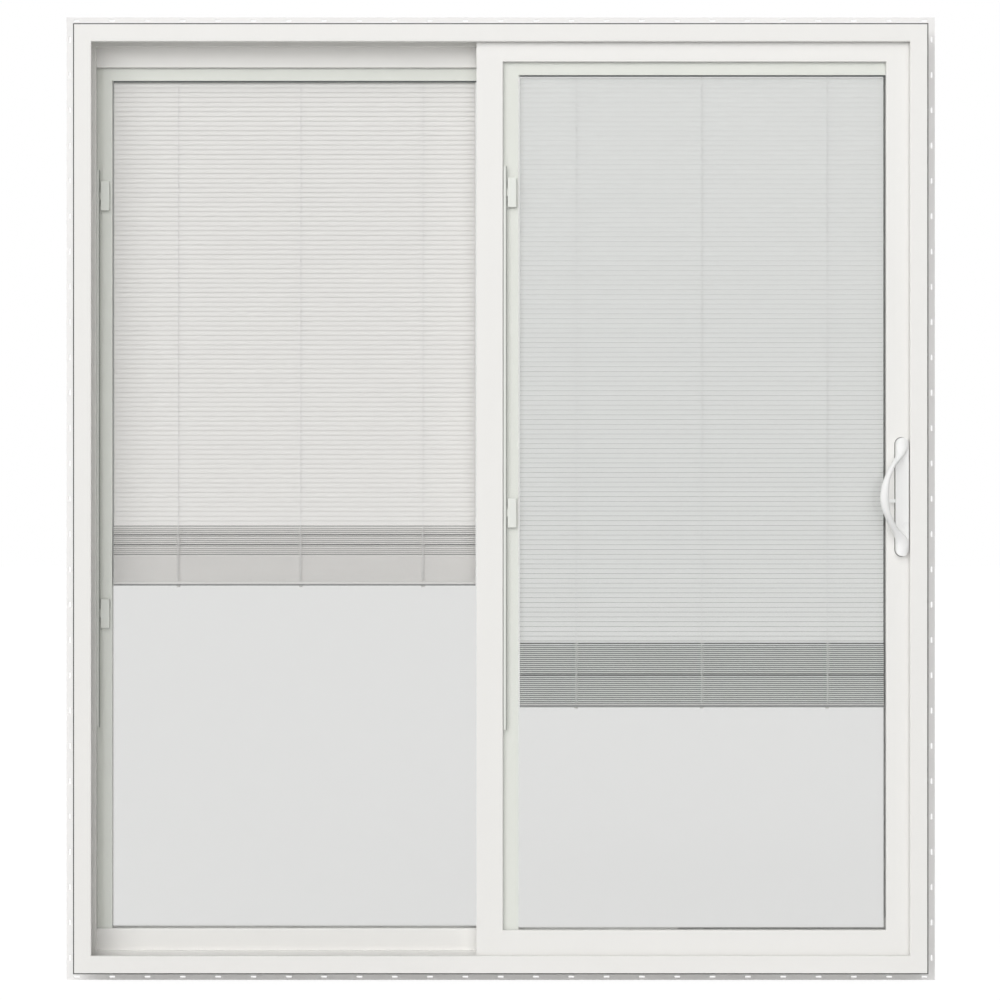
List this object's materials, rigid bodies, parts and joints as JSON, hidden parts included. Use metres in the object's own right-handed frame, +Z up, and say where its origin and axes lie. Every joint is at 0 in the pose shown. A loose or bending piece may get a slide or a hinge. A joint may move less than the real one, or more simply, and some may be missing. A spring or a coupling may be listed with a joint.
{
  "type": "glass sliding patio door",
  "caption": "Two-panel sliding patio door in white vinyl: a fixed and a sliding glazed panel, with slatted blinds sealed between the panes and a nailing fin all round.",
  "frame": {"origin": "middle of the frame's width, level with the underside of the sill, on the room-side face of the nailing fin that lies against the wall", "axes": "+Z up, +Y outdoors, +X to the right seen from the room"},
  "size_m": [1.8732, 0.1592, 2.0765],
  "materials": {
    "vinyl": "satin white vinyl extrusion",
    "fin_vinyl": "thin white vinyl strip",
    "glass": "clear, faint green",
    "spacer": "mill grey",
    "blind_cover": "matt white",
    "slats": "satin white paint on thin aluminium",
    "cords": "white braid",
    "slider": "smooth white moulding",
    "handle": "white powder coat",
    "steel": "stainless",
    "rollers": "dark moulded wheels in a steel housing"
  },
  "bodies": {
    "frame": {"frame_head": "vinyl", "frame_sill": "vinyl", "frame_jamb_left": "vinyl", "frame_jamb_right": "vinyl", "nail_fin_top": "fin_vinyl", "nail_fin_bottom": "fin_vinyl", "nail_fin_left": "fin_vinyl", "nail_fin_right": "fin_vinyl", "sill_track": "steel", "lock_keeper": "steel", "fixed_top_rail": "vinyl", "fixed_bottom_rail": "vinyl", "fixed_jamb_stile": "vinyl", "fixed_meeting_stile": "vinyl", "fixed_glass_panes": "glass", "fixed_glass_spacer": "spacer", "fixed_blind_cover": "blind_cover", "fixed_blind_slats": "slats", "fixed_blind_bottom_rail": "slats", "fixed_ladder_cords": "cords", "fixed_slider_track": "slider"},
    "sliding_panel": {"sliding_top_rail": "vinyl", "sliding_bottom_rail": "vinyl", "sliding_interlock_stile": "vinyl", "sliding_lock_stile": "vinyl", "door_rollers": "rollers", "sliding_glass_panes": "glass", "sliding_glass_spacer": "spacer", "sliding_blind_cover": "blind_cover", "sliding_blind_slats": "slats", "sliding_blind_bottom_rail": "slats", "sliding_ladder_cords": "cords", "sliding_slider_track": "slider", "inside_handle_plate": "handle", "inside_handle_grip": "handle", "outside_handle": "handle", "lock_case": "steel"},
    "latch": {"latch_lever": "handle"},
    "sliding_tilt": {"sliding_tilt_tab": "slider"},
    "sliding_lift": {"sliding_lift_tab": "slider"},
    "fixed_tilt": {"fixed_tilt_tab": "slider"},
    "fixed_lift": {"fixed_lift_tab": "slider"}
  },
  "joints": [
    {"name": "door_slide", "type": "slide", "parent": "frame", "child": "sliding_panel", "axis": [-1, 0, 0], "range_m": [0, 0.8]},
    {"name": "latch_turn", "type": "hinge", "parent": "sliding_panel", "child": "latch", "pos_m": [0.85265, -0.073, 1.005], "axis": [0, -1, 0], "range_deg": [0, 45]},
    {"name": "sliding_tilt_slide", "type": "slide", "parent": "sliding_panel", "child": "sliding_tilt", "axis": [0, 0, 1], "range_m": [-0.1, 0.015]},
    {"name": "sliding_lift_slide", "type": "slide", "parent": "sliding_panel", "child": "sliding_lift", "axis": [0, 0, 1], "range_m": [-0.42, 0.51]},
    {"name": "fixed_tilt_slide", "type": "slide", "parent": "frame", "child": "fixed_tilt", "axis": [0, 0, 1], "range_m": [-0.1, 0.015]},
    {"name": "fixed_lift_slide", "type": "slide", "parent": "frame", "child": "fixed_lift", "axis": [0, 0, 1], "range_m": [-0.205, 0.725]}
  ]
}
